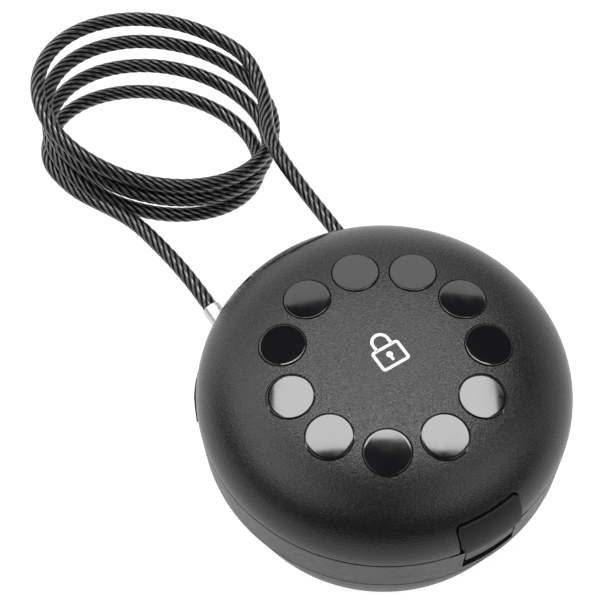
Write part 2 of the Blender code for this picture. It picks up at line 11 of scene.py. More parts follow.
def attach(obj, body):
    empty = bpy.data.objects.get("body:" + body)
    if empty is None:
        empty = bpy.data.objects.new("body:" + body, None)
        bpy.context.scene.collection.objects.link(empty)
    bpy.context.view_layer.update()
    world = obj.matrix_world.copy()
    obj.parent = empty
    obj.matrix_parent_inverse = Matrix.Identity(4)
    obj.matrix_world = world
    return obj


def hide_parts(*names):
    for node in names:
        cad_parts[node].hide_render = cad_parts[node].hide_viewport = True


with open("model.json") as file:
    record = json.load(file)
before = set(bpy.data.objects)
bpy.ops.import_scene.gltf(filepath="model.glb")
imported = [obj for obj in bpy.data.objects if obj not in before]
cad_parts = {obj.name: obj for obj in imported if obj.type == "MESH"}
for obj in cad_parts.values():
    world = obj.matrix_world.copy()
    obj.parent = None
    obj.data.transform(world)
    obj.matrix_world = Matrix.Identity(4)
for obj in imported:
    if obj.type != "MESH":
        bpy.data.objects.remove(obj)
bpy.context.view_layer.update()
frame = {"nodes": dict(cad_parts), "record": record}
NODES = frame["nodes"]

MM = 0.001

# Sizes shared with the CAD
RADIUS = 55 * MM
CROWN_Z = 60 * MM
LID_EDGE_Z = 38.5 * MM
DOME_H = CROWN_Z - LID_EDGE_Z
BASE_TOP_Z = 38.1 * MM
BAND_LOW_Z = 22.3 * MM
BAND_LOW_R = 54 * MM
RIM_Z = 36 * MM
TUB_R = 42.5 * MM
WALL = 2.2 * MM
BUTTON_COUNT = 11
BUTTON_RING_R = 29.7 * MM
BUTTON_R = 6.8 * MM
BUTTON_HOLE_R = 7.05 * MM
SEAM_Y = 48.7 * MM
HINGE_Y = 49 * MM
HINGE_Z = 48.2 * MM
TAB_HALF = 10.2 * MM
TAB_TOP_Z = 48.7 * MM
LIP_HALF = 8.2 * MM
LIP_LOW_Z = 30.9 * MM
TAB_PIVOT_Y = -48.3 * MM
TAB_PIVOT_Z = 46.4 * MM
NOTCH_HALF = 8.7 * MM
NOTCH_LOW_Z = 25.6 * MM
NOTCH_BACK_Y = -48.9 * MM
CABLE_X = 24 * MM
CABLE_Z = 24 * MM
CABLE_R = 2.4 * MM
FERRULE_R = 3 * MM
FERRULE_TIP_Y = 59.9 * MM
SCREW_RING_R = 41 * MM
LID_SCREW_R = 43 * MM
BOSS_R = 2.4 * MM
PORT_ANGLE = radians(144)
PORT_LOW_Z = 24.6 * MM
PORT_HIGH_Z = 36 * MM
LID_SCREW_ANGLES = (25, 155, 215, 325)
PIN_BORE_R = 0.95 * MM
TAB_BORE_R = 1.05 * MM

# Faces of the tab: the pad's lies this far outside the dome, the lip's this far outside the notch's front
TAB_FACE = 0.85 * MM
LIP_FACE = 0.4 * MM
NOTCH_FRONT_R = 54.3 * MM

CAMERA_LENS = 113.55
CAMERA_SENSOR = 36
CAMERA_PLACE = (-0.15548, -0.21131, 0.52789)
CAMERA_ANGLES = (-31.12, 59.06, -1.468)         # azimuth, elevation and roll in degrees

WORLD_STRENGTH = 0.05
TABLE_TONE = 0.2
TABLE_GLOW = 0.92
STUDIO_TURN = -32.2                             # degrees about Z that line the overhead panels up with the view
PANELS = (                                      # name, centre, size, radiance, Euler angles in degrees
    ("softbox", (0.260, 0.332, 1.2), (0.795, 0.36), 11, (0, 0, STUDIO_TURN)),
    ("rear_panel", (0.778, 1.235, 1.2), (1.8, 0.87), 2.2, (0, 0, -28)),
    ("left_panel", (-1.06, 0.85, 1.2), (1.7, 2.3), 2.9, (0, 0, STUDIO_TURN)),
    ("front_panel", (0.68, -1.08, 1.2), (1.5, 1.3), 2.2, (0, 0, STUDIO_TURN)),
    ("backdrop_glow", (0.6, 2.2, 0.45), (4.5, 0.9), 1.7, (-90, 0, 0)),
    ("right_glow", (2.4, -0.3, 0.6), (0.9, 3.0), 1.2, (0, 90, 0)),
)


# ---------------------------------------------------------------- camera, floor and lights

def make_camera():
    """The camera that was fitted to the keys, the lid's edge and the outline."""
    camera = bpy.data.objects.new("camera", bpy.data.cameras.new("camera"))
    camera.data.lens = CAMERA_LENS
    camera.data.sensor_width = CAMERA_SENSOR
    camera.data.clip_start = 0.01
    azimuth, elevation, roll = (radians(angle) for angle in CAMERA_ANGLES)
    right0 = Vector((cos(azimuth), sin(azimuth), 0))
    back = Vector((sin(azimuth) * cos(elevation), -cos(azimuth) * cos(elevation), sin(elevation)))
    up0 = back.cross(right0)
    right = cos(roll) * right0 + sin(roll) * up0
    up = back.cross(right)
    turn = Matrix((right, up, back)).transposed().to_4x4()
    camera.matrix_world = Matrix.Translation(CAMERA_PLACE) @ turn
    bpy.context.scene.collection.objects.link(camera)
    bpy.context.scene.camera = camera


def panel(name, centre, size, radiance, turn):
    """A rectangular light that faces straight down before it is turned by the Euler angles in degrees."""
    light = bpy.data.lights.new(name, "AREA")
    light.shape = "RECTANGLE"
    light.size, light.size_y = size
    light.energy = radiance * pi * size[0] * size[1]
    thing = bpy.data.objects.new(name, light)
    thing.location = centre
    thing.rotation_euler = [radians(angle) for angle in turn]
    bpy.context.scene.collection.objects.link(thing)


def make_studio():
    """A softbox and grey panels overhead, which the keys and the dome mirror, and a softly lit white table."""
    bpy.context.scene.view_settings.view_transform = "Standard"
    world = bpy.data.worlds.new("studio")
    world.use_nodes = True
    world.node_tree.nodes["Background"].inputs["Color"].default_value = (1, 1, 1, 1)
    world.node_tree.nodes["Background"].inputs["Strength"].default_value = WORLD_STRENGTH
    bpy.context.scene.world = world
    for settings in PANELS:
        panel(*settings)
    bm = bmesh.new()
    bmesh.ops.create_grid(bm, x_segments=8, y_segments=8, size=4)
    floor = solid("floor", bm)
    floor.location.z = -0.00005
    paint = bpy.data.materials.new("table_white")
    paint.use_nodes = True
    shader = paint.node_tree.nodes["Principled BSDF"]
    shader.inputs["Base Color"].default_value = (TABLE_TONE, TABLE_TONE, TABLE_TONE, 1)
    shader.inputs["Roughness"].default_value = 0.8
    shader.inputs["Emission Color"].default_value = (1, 1, 1, 1)
    shader.inputs["Emission Strength"].default_value = TABLE_GLOW
    floor.data.materials.append(paint)


# ---------------------------------------------------------------- materials

class Finish:
    """A Principled material whose colour, roughness and bump come from small node graphs in object coordinates."""

    def __init__(self, name, colour, roughness, metallic=0.0, **inputs):
        self.material = bpy.data.materials.new(name)
        self.material.use_nodes = True
        self.tree = self.material.node_tree
        self.shader = self.tree.nodes["Principled BSDF"]
        self.set(self.shader, {"Base Color": (*colour, 1), "Roughness": roughness, "Metallic": metallic, **inputs})
        self.coordinates = self.tree.nodes.new("ShaderNodeTexCoord")
        self.normal = None

    def set(self, node, inputs):
        for key, value in inputs.items():
            if isinstance(value, bpy.types.NodeSocket):
                self.tree.links.new(value, node.inputs[key])
            else:
                node.inputs[key].default_value = value
        return node

    def node(self, kind, settings=None, **inputs):
        made = self.tree.nodes.new("ShaderNode" + kind)
        for key, value in (settings or {}).items():
            setattr(made, key, value)
        return self.set(made, {key.replace("_", " "): value for key, value in inputs.items()})

    def math(self, operation, a, b=0.0):
        made = self.tree.nodes.new("ShaderNodeMath")
        made.operation = operation
        self.set(made, {0: a, 1: b})
        return made.outputs[0]

    def noise(self, size, detail=2.0, roughness=0.5, stretch=(1, 1, 1)):
        """Noise whose grains are about size across; stretch makes them longer along an axis."""
        place = self.node("Mapping", Vector=self.coordinates.outputs["Object"])
        place.inputs["Scale"].default_value = [1 / s for s in stretch]
        made = self.node("TexNoise", Vector=place.outputs["Vector"], Scale=0.5 / size, Detail=detail,
                         Roughness=roughness)
        return made.outputs["Fac"]

    def cells(self, size):
        """Distance from the middle of cells about size across."""
        made = self.node("TexVoronoi", {"feature": "SMOOTH_F1"}, Vector=self.coordinates.outputs["Object"],
                         Scale=1 / size, Smoothness=0.6)
        return made.outputs["Distance"]

    def spread(self, socket, low, high, start=0.3, end=0.7):
        """The socket's start to end, mapped to low to high."""
        made = self.node("MapRange", Value=socket)
        self.set(made, {"From Min": start, "From Max": end, "To Min": low, "To Max": high})
        return made.outputs["Result"]

    def colours(self, socket, low, high, start=0.3, end=0.7):
        ramp = self.node("ValToRGB", Fac=socket)
        for stop, place, colour in zip(ramp.color_ramp.elements, (start, end), (low, high)):
            stop.position = place
            stop.color = (*colour, 1)
        self.tree.links.new(ramp.outputs["Color"], self.shader.inputs["Base Color"])
        return self

    def roughness(self, socket, low, high, start=0.3, end=0.7):
        self.tree.links.new(self.spread(socket, low, high, start, end), self.shader.inputs["Roughness"])
        return self

    def bump(self, socket, height, strength=1.0):
        made = self.node("Bump", Height=socket, Distance=height, Strength=strength)
        if self.normal is not None:
            self.tree.links.new(self.normal, made.inputs["Normal"])
        self.normal = made.outputs["Normal"]
        self.tree.links.new(self.normal, self.shader.inputs["Normal"])
        return self


def grey(value, tint=0.02):
    """A neutral dark tone with a very slight blue tint."""
    return (value, value, value * (1 + tint))


def moulded(name, dark, light, roughness, grain, depth, **inputs):
    """Moulded plastic: spark-eroded pebble grain, and a little unevenness in its colour and sheen."""
    finish = Finish(name, light, roughness, **inputs)
    finish.colours(finish.noise(6 * MM, 3), dark, light)
    finish.roughness(finish.noise(1.4 * MM, 3), roughness - 0.04, roughness + 0.04)
    finish.bump(finish.cells(grain), depth)
    finish.bump(finish.noise(grain * 0.5, 2, 0.6), depth * 0.7)
    return finish.material


def make_pebbled():
    """The dome's plastic: a fine, even pebble that breaks its sheen into small light and dark specks."""
    finish = Finish("lid_plastic", grey(0.008), 0.3, **{"Specular IOR Level": 0.38})
    finish.colours(finish.noise(6 * MM, 3), grey(0.006), grey(0.008))
    finish.roughness(finish.noise(0.3 * MM, 1, 0.5), 0.25, 0.29, 0.35, 0.65)
    finish.bump(finish.cells(0.38 * MM), 0.075 * MM)
    finish.bump(finish.noise(0.2 * MM, 2, 0.6), 0.045 * MM)
    return finish.material


def metal(name, colour, roughness, stretch, depth=0.01 * MM):
    """Metal with fine machining lines."""
    finish = Finish(name, colour, roughness, 1.0)
    lines = finish.noise(0.16 * MM, 2, 0.6, stretch)
    finish.roughness(lines, roughness - 0.08, roughness + 0.12)
    finish.bump(lines, depth)
    return finish.material


def make_gloss():
    """Polished black key caps, very slightly uneven, with faint finger smears."""
    finish = Finish("button_gloss", (0.004, 0.004, 0.005), 0.05, **{"Coat Weight": 0.2, "Coat Roughness": 0.03})
    finish.roughness(finish.noise(3 * MM, 4, 0.65, (1, 2.4, 1)), 0.035, 0.09)
    finish.bump(finish.noise(5 * MM, 1), 0.02 * MM)
    return finish.material


def make_sheath():
    """Twisted steel strands under a smoke-tinted sheath: greyer ridges, painted shade darkening the valleys between
    the strands, and a soft clear coat.
    """
    finish = Finish("cable_sheath", (0.05, 0.05, 0.055), 0.3, 0.3, **{"Coat Roughness": 0.09, "Coat IOR": 1.6})
    place = finish.node("SeparateXYZ", Vector=finish.coordinates.outputs["UV"])
    strand = finish.math("MULTIPLY", place.outputs["X"], STRANDS * pi)
    ridge = finish.math("ABSOLUTE", finish.math("SINE", strand))
    wires = finish.math("ADD", finish.math("MULTIPLY", place.outputs["X"], STRANDS * WIRES),
                        finish.math("MULTIPLY", place.outputs["Y"], 1.6))
    wires = finish.math("ABSOLUTE", finish.math("SINE", finish.math("MULTIPLY", wires, pi)))
    # Painted shade: the base colour drops to near black in the valleys between the strands, in place of the shadow
    # there; the ridges keep the strands' grey
    finish.colours(ridge, grey(0.001), grey(0.03), 0.4, 1.0)
    finish.set(finish.shader, {"Coat Weight": finish.spread(ridge, 0.0, 1.0, 0.5, 0.98),
                               "Specular IOR Level": finish.spread(ridge, 0.05, 0.4, 0.4, 1.0)})
    finish.bump(wires, 0.012 * MM)
    finish.bump(finish.noise(0.5 * MM, 2), 0.03 * MM)
    return finish.material


def make_materials():
    return {
        "lid_plastic": make_pebbled(),
        "base_plastic": moulded("base_plastic", grey(0.009), grey(0.012), 0.42, 0.36 * MM, 0.03 * MM,
                                **{"Specular IOR Level": 0.42}),
        "soft_plastic": moulded("soft_plastic", grey(0.006), grey(0.008), 0.45, 0.34 * MM, 0.02 * MM,
                                **{"Specular IOR Level": 0.33}),
        "button_gloss": make_gloss(),
        "rubber": moulded("rubber", grey(0.008), grey(0.013), 0.7, 0.5 * MM, 0.03 * MM),
        "steel": metal("steel", (0.6, 0.6, 0.59), 0.36, (6, 1, 1), 0.004 * MM),
        "cable_sheath": make_sheath(),
        "inner_plastic": moulded("inner_plastic", grey(0.04), grey(0.05), 0.5, 0.4 * MM, 0.02 * MM),
        "board": moulded("board", (0.01, 0.07, 0.03), (0.015, 0.1, 0.04), 0.4, 0.5 * MM, 0.01 * MM),
        "battery": moulded("battery", (0.25, 0.14, 0.03), (0.32, 0.2, 0.045), 0.35, 0.6 * MM, 0.005 * MM),
        "brass": metal("brass", (0.72, 0.52, 0.22), 0.3, (1, 1, 5)),
        "felt": moulded("felt", grey(0.02), grey(0.05), 0.95, 0.3 * MM, 0.25 * MM, **{"Sheen Weight": 0.5}),
        "silicone": moulded("silicone", (0.42, 0.42, 0.4), (0.5, 0.5, 0.48), 0.6, 0.4 * MM, 0.01 * MM),
    }


def make_print():
    """White pad print, a little worn."""
    finish = Finish("white_print", (0.8, 0.8, 0.8), 0.5)
    finish.colours(finish.noise(0.5 * MM, 3, 0.6), (0.68, 0.68, 0.68), (0.84, 0.84, 0.84), 0.25, 0.5)
    finish.bump(finish.noise(0.2 * MM, 2), 0.01 * MM)
    return finish.material


# ---------------------------------------------------------------- mesh helpers

def fillet(points, closed=True, segments=4):
    """A profile of (r, z) or (r, z, rounding) corners, with each rounding turned into an arc."""
    made = []
    count = len(points)
    for i, point in enumerate(points):
        here = Vector(point[:2])
        if len(point) < 3 or (not closed and i in (0, count - 1)):
            made.append(here)
            continue
        before = (Vector(points[i - 1][:2]) - here).normalized()
        after = (Vector(points[(i + 1) % count][:2]) - here).normalized()
        half = before.angle(after) / 2
        reach = point[2] / max(abs(sin(half) / cos(half)), 1e-6)
        centre = here + (before + after).normalized() * (point[2] / sin(half))
        start, end = here + before * reach - centre, here + after * reach - centre
        sweep = start.angle_signed(end)
        for k in range(segments + 1):
            made.append(centre + Matrix.Rotation(-sweep * k / segments, 2) @ start)
    return made


def solid(name, bm):
    mesh = bpy.data.meshes.new(name)
    bm.to_mesh(mesh)
    bm.free()
    thing = bpy.data.objects.new(name, mesh)
    bpy.context.scene.collection.objects.link(thing)
    return thing


def turned(name, profile, steps=96, closed=True):
    """A mesh turned about Z from a profile; a point on the axis closes to a cap."""
    bm = bmesh.new()
    rings = []
    for r, z in profile:
        count = 1 if r < 1e-7 else steps
        rings.append([bm.verts.new((r * cos(2 * pi * k / steps), r * sin(2 * pi * k / steps), z))
                      for k in range(count)])
    pairs = list(zip(rings, rings[1:]))
    if closed and len(rings[0]) > 1:
        pairs.append((rings[-1], rings[0]))
    for a, b in pairs:
        for k in range(steps):
            corners = [a[k % len(a)], b[k % len(b)], b[(k + 1) % len(b)], a[(k + 1) % len(a)]]
            corners = list(dict.fromkeys(corners))
            if len(corners) > 2:
                bm.faces.new(corners)
    bmesh.ops.recalc_face_normals(bm, faces=bm.faces[:])
    return solid(name, bm)


def block(name, low, high, bevel=0.0, segments=3):
    bm = bmesh.new()
    size = [b - a for a, b in zip(low, high)]
    middle = [(a + b) / 2 for a, b in zip(low, high)]
    bmesh.ops.create_cube(bm, size=1.0, matrix=Matrix.Translation(middle) @ Matrix.Diagonal((*size, 1)))
    if bevel:
        bmesh.ops.bevel(bm, geom=bm.edges[:], offset=bevel, segments=segments, profile=0.5, affect="EDGES")
    return solid(name, bm)


def rod(name, start, end, radius, sides=48):
    start, end = Vector(start), Vector(end)
    along = end - start
    turn = along.to_track_quat("Z", "Y").to_matrix().to_4x4()
    bm = bmesh.new()
    bmesh.ops.create_cone(bm, cap_ends=True, segments=sides, radius1=radius, radius2=radius, depth=along.length,
                          matrix=Matrix.Translation((start + end) / 2) @ turn)
    return solid(name, bm)


def upright_rod(name, foot, low, high, radius, sides=48):
    return rod(name, foot + Vector((0, 0, low)), foot + Vector((0, 0, high)), radius, sides)


def rounded_outline(half, low, high, corner, per_corner=8, across=14, upright=8):
    """Points round the rectangle u = -half...half, v = low...high with rounded corners; any size has as many."""
    corner = max(min(corner, half, (high - low) / 2), 1e-6)
    points = []
    for k, (u, v) in enumerate(((half - corner, low + corner), (half - corner, high - corner),
                                (corner - half, high - corner), (corner - half, low + corner))):
        start = pi / 2 * (k - 1)
        arc = [(u + corner * cos(start + pi / 2 * i / per_corner), v + corner * sin(start + pi / 2 * i / per_corner))
               for i in range(per_corner + 1)]
        points += arc
        following = ((half, high - corner), (corner - half, high), (-half, low + corner), (half - corner, low))[k]
        count = (upright, across)[k % 2]
        for i in range(1, count):
            share = i / count
            points.append((arc[-1][0] * (1 - share) + following[0] * share,
                           arc[-1][1] * (1 - share) + following[1] * share))
    return points


def cap(bm, ring, mirror=24):
    """Fills a rounded outline with strips from its lower to its upper side, so that the cap bends with them."""
    right = [(k, mirror - k) for k in range(mirror // 2 + 1)]
    left = [(-k % len(ring), mirror + k) for k in range((len(ring) - mirror) // 2 + 1)]
    for chain in (right, left):
        for (a, b), (c, d) in zip(chain, chain[1:]):
            bm.faces.new([ring[k] for k in dict.fromkeys((a, c, d, b))])


def plate(name, half, low, high, corner, back, front, rim, bend):
    """A rounded plate from depth back to front with a soft front rim, each point (u, v, w) put in place by bend."""
    reach = min(half, (high - low) / 2)
    layers = [(0.25 * rim, back), (0, back + 0.25 * rim), (0, front - rim)]
    layers += [(rim * (1 - cos(t)), front - rim * (1 - sin(t))) for t in (pi / 10 * k for k in range(1, 6))]
    layers += [(rim + (0.97 * reach - rim) * k / 6, front) for k in range(1, 7)]
    bm = bmesh.new()
    rings = []
    for inset, w in layers:
        outline = rounded_outline(half - inset, low + inset, high - inset, max(corner - inset, 0.05 * corner))
        rings.append([bm.verts.new(bend(u, v, w)) for u, v in outline])
    for a, b in zip(rings, rings[1:]):
        for k in range(len(a)):
            bm.faces.new((a[k - 1], a[k], b[k], b[k - 1]))
    cap(bm, rings[0])
    cap(bm, rings[-1])
    bmesh.ops.recalc_face_normals(bm, faces=bm.faces[:])
    return solid(name, bm)


def carve(thing, cutter, operation="DIFFERENCE"):
    """One Boolean, applied, and its cutter removed."""
    step = thing.modifiers.new("step", "BOOLEAN")
    step.operation = operation
    step.solver = "EXACT"
    step.object = cutter
    bpy.context.view_layer.update()
    mesh = bpy.data.meshes.new_from_object(thing.evaluated_get(bpy.context.evaluated_depsgraph_get()))
    thing.modifiers.clear()
    old = thing.data
    thing.data = mesh
    mesh.name = thing.name
    bpy.data.meshes.remove(old)
    bpy.data.objects.remove(cutter, do_unlink=True)
    return thing


def cut(thing, *cutters):
    for cutter in cutters:
        carve(thing, cutter)
    return thing


def join(thing, *others):
    for other in others:
        carve(thing, other, "UNION")
    return thing


def tidy(thing, distance=0.004 * MM):
    """Merges the slivers that Booleans leave."""
    bm = bmesh.new()
    bm.from_mesh(thing.data)
    bmesh.ops.remove_doubles(bm, verts=bm.verts[:], dist=distance)
    bmesh.ops.dissolve_degenerate(bm, edges=bm.edges[:], dist=distance)
    bm.to_mesh(thing.data)
    bm.free()
    return thing


def dome_surface(p):
    """How far a point is from the dome, about, and the dome's normal there."""
    r = max(hypot(p.x, p.y), 1e-9)
    z = p.z - LID_EDGE_Z
    slope_r, slope_z = 4 * r ** 3 / RADIUS ** 4, 2 * z / DOME_H ** 2
    steep = hypot(slope_r, slope_z)
    if steep < 1e-9 or z < -0.1 * MM:
        return 1.0, Vector((0, 0, 1))
    away = ((r / RADIUS) ** 4 + (z / DOME_H) ** 2 - 1) / steep
    return abs(away), Vector((p.x / r * slope_r, p.y / r * slope_r, slope_z)).normalized()


def cone_surface(r0, z0, r1, z1):
    """The same for the outside of a cone through (r0, z0) and (r1, z1)."""
    length = hypot(r1 - r0, z1 - z0)
    out_r, out_z = abs(z1 - z0) / length, (r1 - r0) * (-1 if z1 > z0 else 1) / length

    def surface(p):
        r = max(hypot(p.x, p.y), 1e-9)
        away = (r - r0) * out_r + (p.z - z0) * out_z
        return abs(away), Vector((p.x / r * out_r, p.y / r * out_r, out_z))
    return surface


def offset_surface(surface, gap):
    """The surface that lies a gap outside another."""
    def moved(p):
        away, normal = surface(p)
        return abs(away - gap), normal
    return moved


def shade(thing, surfaces=(), angle=35, tolerance=0.06 * MM):
    """Smooth shading, with exact normals where a face lies on one of the given surfaces."""
    mesh = thing.data
    mesh.shade_smooth()
    mesh.set_sharp_from_angle(angle=radians(angle))
    if not surfaces:
        return thing
    normals = [Vector(n.vector) for n in mesh.corner_normals]
    for face in mesh.polygons:
        for surface in surfaces:
            found = [surface(mesh.vertices[v].co) for v in face.vertices]
            if all(away < tolerance and face.normal.dot(n) > 0.9 for away, n in found):
                for corner, (_, n) in zip(face.loop_indices, found):
                    normals[corner] = n
                break
    mesh.normals_split_custom_set(normals)
    return thing


def place(thing, body, slot, *replaced, material=None):
    """Gives a finished piece its material, body and slot, and hides the CAD nodes that it stands for."""
    thing.data.materials.clear()
    thing.data.materials.append(material or MATERIALS[slot])
    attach(thing, body)
    if replaced:
        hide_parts(*replaced)
    return thing


# ---------------------------------------------------------------- cable

LEFT_LEG = [(-24, 60.2, 24), (-24.1, 67, 24.2), (-24.5, 75, 24.5), (-25.6, 84, 24.7), (-27.7, 97.3, 24.7)]
LEFT_TURN = [(-29.3, 102.5, 24.6), (-32, 108.6, 24.4), (-35.3, 114.9, 24.2), (-38.2, 121.4, 23.9)]
RIGHT_LEG = [(24, 60.2, 24), (23.9, 67, 24.3), (23.7, 75, 24.4), (23.7, 84, 24.2), (24.6, 99.3, 23.6)]
RIGHT_TURN = [(26.6, 107.5, 22.9), (29.7, 114.4, 22.1), (33.5, 121.2, 21.5)]
MOUTH_Y = 59.4                      # where each end of the cable sits in its ferrule's mouth
COIL_TURNS = 3.5
STRANDS = 8
WIRES = 4                           # outer wires that show on each strand
STRAND_PITCH = 26.4 * MM
STRAND_DEPTH = 0.24 * MM


def coil_point(n):
    """Centreline of the coil, n turns from its right-hand end down to its left-hand end."""
    t = 2 * pi * n
    r = 34.5 - 1.36 * n
    x = 0.16 + 0.47 * n - 0.83 * n * n + 1.1 * r * cos(t)
    y = 134.33 - 2.53 * n + r * sin(t) - 0.1 * r * cos(t)
    far, near = 37.35 - 7.17 * n, 28.66 - 5.04 * n
    z = (far + near) / 2 + (far - near) / 2 * sin(t) - 12 * cos(t)
    return (x, y, z)


def smooth_route(points, spacing, passes):
    """Even steps along a Catmull-Rom curve through the points, eased where its parts meet, and its length."""
    points = [Vector(p) * MM for p in points]
    ends = [points[0] * 2 - points[1]] + points + [points[-1] * 2 - points[-2]]
    fine = []
    for a, b, c, d in zip(ends, ends[1:], ends[2:], ends[3:]):
        for i in range(16):
            t = i / 16
            fine.append(((2 * b) + (c - a) * t + (2 * a - 5 * b + 4 * c - d) * t * t
                         + (3 * b - a - 3 * c + d) * t ** 3) / 2)
    fine.append(points[-1])
    lengths = [0.0]
    for a, b in zip(fine, fine[1:]):
        lengths.append(lengths[-1] + (b - a).length)
    count = round(lengths[-1] / spacing)
    route, k = [], 0
    for i in range(count + 1):
        want = lengths[-1] * i / count
        while k < len(fine) - 2 and lengths[k + 1] < want:
            k += 1
        share = (want - lengths[k]) / (lengths[k + 1] - lengths[k])
        route.append(fine[k].lerp(fine[k + 1], share))
    for _ in range(passes):
        route = [route[0]] + [(a + 2 * b + c) / 4 for a, b, c in zip(route, route[1:], route[2:])] + [route[-1]]
    return route, sum((b - a).length for a, b in zip(route, route[1:]))


def make_cable():
    """Sheathed wire rope: eight strands that turn with its length, as lobes of its section."""
    coil = [coil_point(COIL_TURNS - k / 32) for k in range(1, int(COIL_TURNS * 32))]
    points = [(-24, MOUTH_Y, 24)] + LEFT_LEG + LEFT_TURN + coil + RIGHT_TURN[::-1] + RIGHT_LEG[::-1]
    points.append((24, MOUTH_Y, 24))
    route, length = smooth_route(points, 1.1 * MM, 24)
    sides = 40
    bm = bmesh.new()
    uv = bm.loops.layers.uv.new("cable")
    rings = []
    side = Vector((0, 0, 1))
    far = 0.0
    for i, here in enumerate(route):
        along = (route[min(i + 1, len(route) - 1)] - route[max(i - 1, 0)]).normalized()
        side = (side - along * side.dot(along)).normalized()
        other = along.cross(side)
        far += (here - route[max(i - 1, 0)]).length
        ring = []
        for k in range(sides):
            around = 2 * pi * k / sides
            angle = around + 2 * pi * far / STRAND_PITCH
            radius = CABLE_R - STRAND_DEPTH * (1 - abs(sin(STRANDS * around / 2)))
            ring.append(bm.verts.new(here + radius * (cos(angle) * side + sin(angle) * other)))
        rings.append((ring, far / (STRAND_PITCH / STRANDS)))
    for (a, low), (b, high) in zip(rings, rings[1:]):
        for k in range(sides):
            face = bm.faces.new((a[k], a[(k + 1) % sides], b[(k + 1) % sides], b[k]))
            for corner, (u, v) in zip(face.loops, ((k, low), (k + 1, low), (k + 1, high), (k, high))):
                corner[uv].uv = (u / sides, v)
    bm.faces.new(rings[0][0][::-1])
    bm.faces.new(rings[-1][0])
    cable = solid("security_cable", bm)
    cable.data.shade_smooth()
    place(cable, "base", "cable_sheath", "cable_leg_left", "cable_leg_right", "cable_coil")
    path = [tuple(p) for p in route[::2]] + [tuple(route[-1])]


def make_cable_ends():
    """A flanged bush through the band, and a crimped ferrule with pressed grooves, for each end of the cable."""
    for side, name in ((-1, "left"), (1, "right")):
        turn = Matrix.Translation((side * CABLE_X, 0, CABLE_Z)) @ Matrix.Rotation(radians(-90), 4, "X")
        grooves = []
        for y in (56.4, 52.0):
            grooves += [(3.0 * MM, (y + 0.6) * MM, 0.1 * MM), (2.93 * MM, (y + 0.35) * MM, 0.1 * MM),
                        (2.93 * MM, (y - 0.35) * MM, 0.1 * MM), (3.0 * MM, (y - 0.6) * MM, 0.1 * MM)]
        profile = [(0, 59.1 * MM), (2.45 * MM, 59.1 * MM), (2.6 * MM, FERRULE_TIP_Y, 0.1 * MM),
                   (FERRULE_R, 59.3 * MM, 0.3 * MM), *grooves, (FERRULE_R, 42.3 * MM), (0, 42.3 * MM)]
        ferrule = shade(turned(f"ferrule_{name}", fillet(profile, False), 64, False), angle=40)
        ferrule.data.transform(turn)
        place(ferrule, "base", "steel", f"cable_ferrule_{name}")
        profile = [(0, 42 * MM), (3.25 * MM, 42 * MM), (3.25 * MM, 49.8 * MM, 0.12 * MM),
                   (3.65 * MM, 49.8 * MM, 0.15 * MM), (3.65 * MM, 42.4 * MM), (4.6 * MM, 42.4 * MM, 0.15 * MM),
                   (4.6 * MM, 41 * MM, 0.2 * MM), (0, 41 * MM)]
        bush = shade(turned(f"bush_{name}", fillet(profile, False), 64, False), angle=40)
        bush.data.transform(turn)
        place(bush, "base", "steel", f"cable_bush_{name}")


# ---------------------------------------------------------------- lid

def button_frame(index):
    """Place of a key: its Z axis is square to the dome there."""
    angle = radians(-90) + 2 * pi * index / BUTTON_COUNT
    share = BUTTON_RING_R / RADIUS
    slope = 2 * DOME_H * share ** 3 / (RADIUS * sqrt(1 - share ** 4))
    height = LID_EDGE_Z + DOME_H * sqrt(1 - share ** 4)
    spot = Vector((BUTTON_RING_R * cos(angle), BUTTON_RING_R * sin(angle), height))
    return Matrix.Translation(spot) @ Matrix.Rotation(angle, 4, "Z") @ Matrix.Rotation(atan(slope), 4, "Y")


def dome_profile(radius, edge, height, count):
    points = []
    for i in range(count + 1):
        t = pi / 2 * i / count
        points.append((radius * sqrt(sin(t)), edge + height * cos(t)))
    points[-1] = (radius, edge)
    return points


def dome_solid(name, steps=192, count=40):
    """Dome with a small rounded lower edge."""
    profile = dome_profile(RADIUS, LID_EDGE_Z, DOME_H, count)[:-1]
    profile += [(RADIUS, LID_EDGE_Z + 0.35 * MM), (RADIUS - 0.1 * MM, LID_EDGE_Z + 0.1 * MM),
                (RADIUS - 0.35 * MM, LID_EDGE_Z), (0, LID_EDGE_Z)]
    return turned(name, profile, steps)


def hinge_rod(name, start_x, end_x, radius, sides=48):
    return rod(name, (start_x, HINGE_Y, HINGE_Z), (end_x, HINGE_Y, HINGE_Z), radius, sides)


def tab_rod(name, half, radius, sides=48):
    return rod(name, (-half, TAB_PIVOT_Y, TAB_PIVOT_Z), (half, TAB_PIVOT_Y, TAB_PIVOT_Z), radius, sides)


def at_angle(angle, radius, z=0.0):
    return Vector((radius * cos(angle), radius * sin(angle), z))


def dome_height(turn, x, y):
    """Height of the dome over the point (x, y) of a key's own frame."""
    z = 0.0
    for _ in range(4):
        spot = turn @ Vector((x, y, z))
        r = hypot(spot.x, spot.y)
        level = LID_EDGE_Z + DOME_H * sqrt(1 - (r / RADIUS) ** 4)
        z += level - spot.z
    return z


